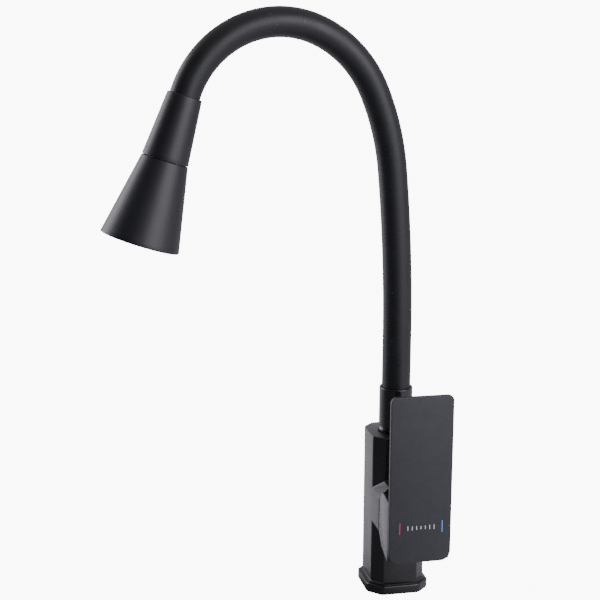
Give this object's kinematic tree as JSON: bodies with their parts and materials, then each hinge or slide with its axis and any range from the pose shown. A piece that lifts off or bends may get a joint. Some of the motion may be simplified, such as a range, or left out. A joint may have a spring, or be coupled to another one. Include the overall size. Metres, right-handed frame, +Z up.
{
  "type": "kitchen mixer tap",
  "caption": "Side-lever kitchen mixer: chamfered square column with a side boss, flat upright lever plate, and a bendable gooseneck spout ending in a two-part cone spray head.",
  "frame": {"origin": "middle of the base face on the deck, on the column's axis", "axes": "+Z up the column; +X along the side boss towards the lever; -Y towards the user"},
  "size_m": [0.1002, 0.2541, 0.4583],
  "materials": {
    "satin_black_brass": "satin black powder paint on cast brass",
    "satin_black_zinc": "satin black paint on zinc",
    "satin_black_collar": "semi-gloss black on brass tube",
    "matt_grey_plate": "matt graphite paint",
    "hot_ink": "red print",
    "cold_ink": "blue print",
    "white_ink": "off-white print",
    "black_silicone": "matt moulded silicone",
    "black_rubber": "moulded",
    "black_nylon": "moulded",
    "grey_nylon": "moulded",
    "white_acetal": "moulded",
    "white_pex": "extruded",
    "alumina": "lapped ceramic",
    "raw_brass": "turned",
    "steel": "turned",
    "armour_steel": "wound strip",
    "satin_black_abs": "satin black moulded",
    "face_abs": "matt black moulded",
    "face_ring": "black moulded",
    "nozzle_silicone": "dark grey moulded"
  },
  "bodies": {
    "base": {"body_casting": "satin_black_brass", "base_seal": "black_rubber", "swivel_screw": "steel", "cartridge_base": "white_acetal", "cartridge_seals": "black_rubber", "cartridge_housing": "white_acetal", "fixed_disc": "alumina", "cartridge_nut": "raw_brass"},
    "lever_turn": {"cartridge_carrier": "grey_nylon", "stem_pin": "steel", "lever_rocker": "steel", "lever_hinge_pin": "steel"},
    "ceramic_slider": {"moving_disc": "alumina"},
    "rocking_stem": {"cartridge_stem": "raw_brass"},
    "lever": {"lever_block": "satin_black_zinc", "stem_bush": "white_acetal", "plate_screws": "steel", "lever_plate": "matt_grey_plate", "hot_mark": "hot_ink", "cold_mark": "cold_ink", "scale_marks": "white_ink"},
    "spout": {"slip_ring": "black_nylon", "spout_collar": "satin_black_collar", "swivel_nipple": "raw_brass", "swivel_seals": "black_rubber", "neck_sleeve_1": "black_silicone", "neck_link_1": "armour_steel", "water_tube_1": "white_pex"},
    "neck_2": {"neck_sleeve_2": "black_silicone", "neck_link_2": "armour_steel", "water_tube_2": "white_pex"},
    "neck_3": {"neck_sleeve_3": "black_silicone", "neck_link_3": "armour_steel", "water_tube_3": "white_pex"},
    "neck_4": {"neck_sleeve_4": "black_silicone", "neck_link_4": "armour_steel", "water_tube_4": "white_pex"},
    "neck_5": {"neck_sleeve_5": "black_silicone", "neck_link_5": "armour_steel", "water_tube_5": "white_pex"},
    "head": {"neck_sleeve_6": "black_silicone", "neck_link_6": "armour_steel", "water_tube_6": "white_pex", "head_upper_cone": "satin_black_abs", "head_connector": "white_acetal", "check_valve": "white_acetal", "neck_nut": "raw_brass", "fixed_port_disc": "grey_nylon", "stop_pin": "steel", "spindle_clip": "steel"},
    "spray_cone": {"turning_port_disc": "grey_nylon", "flow_body": "grey_nylon", "head_lower_cone": "satin_black_abs", "spray_face": "face_abs", "spray_nozzles": "nozzle_silicone", "aerator_shell": "face_ring", "aerator_mesh": "steel"}
  },
  "joints": [
    {"name": "lever_temperature", "type": "hinge", "parent": "base", "child": "lever_turn", "pos_m": [0.0353, 0, 0.0731], "axis": [1, 0, 0], "range_deg": [-45, 45]},
    {"name": "lever_flow", "type": "hinge", "parent": "lever_turn", "child": "lever", "pos_m": [0.0391, 0, 0.0618], "axis": [0, 1, 0], "range_deg": [0, 20]},
    {"name": "stem_rock", "type": "hinge", "parent": "lever_turn", "child": "rocking_stem", "pos_m": [0.028, 0, 0.0731], "axis": [0, 1, 0], "range_deg": [0, 11.2]},
    {"name": "disc_slide", "type": "slide", "parent": "lever_turn", "child": "ceramic_slider", "axis": [0, 0, 1], "range_m": [0, 0.00178]},
    {"name": "spout_swivel", "type": "hinge", "parent": "base", "child": "spout", "pos_m": [0, 0, 0.1292], "axis": [0, 0, 1], "continuous": true},
    {"name": "neck_bend_1", "type": "hinge", "parent": "spout", "child": "neck_2", "pos_m": [0, 0, 0.205], "axis": [0.9877, 0.1564, 0], "range_deg": [-10, 10]},
    {"name": "neck_bend_2", "type": "hinge", "parent": "neck_2", "child": "neck_3", "pos_m": [0.00103, -0.00652, 0.33536], "axis": [0.9877, 0.1564, 0], "range_deg": [-10, 10]},
    {"name": "neck_bend_3", "type": "hinge", "parent": "neck_3", "child": "neck_4", "pos_m": [0.00356, -0.0225, 0.39575], "axis": [0.9877, 0.1564, 0], "range_deg": [-10, 10]},
    {"name": "neck_bend_4", "type": "hinge", "parent": "neck_4", "child": "neck_5", "pos_m": [0.01082, -0.06834, 0.44119], "axis": [0.9877, 0.1564, 0], "range_deg": [-10, 10]},
    {"name": "neck_bend_5", "type": "hinge", "parent": "neck_5", "child": "head", "pos_m": [0.02015, -0.12725, 0.44056], "axis": [0.9877, 0.1564, 0], "range_deg": [-10, 10]},
    {"name": "spray_mode", "type": "hinge", "parent": "head", "child": "spray_cone", "pos_m": [0.02642, -0.16678, 0.3965], "axis": [0.0502, -0.3167, -0.9472], "range_deg": [0, 90]}
  ],
  "couplings": [
    {"joint": "stem_rock", "follows": "lever_flow", "ratio": 0.55},
    {"joint": "disc_slide", "follows": "lever_flow", "m_per_rad": 0.00495}
  ]
}
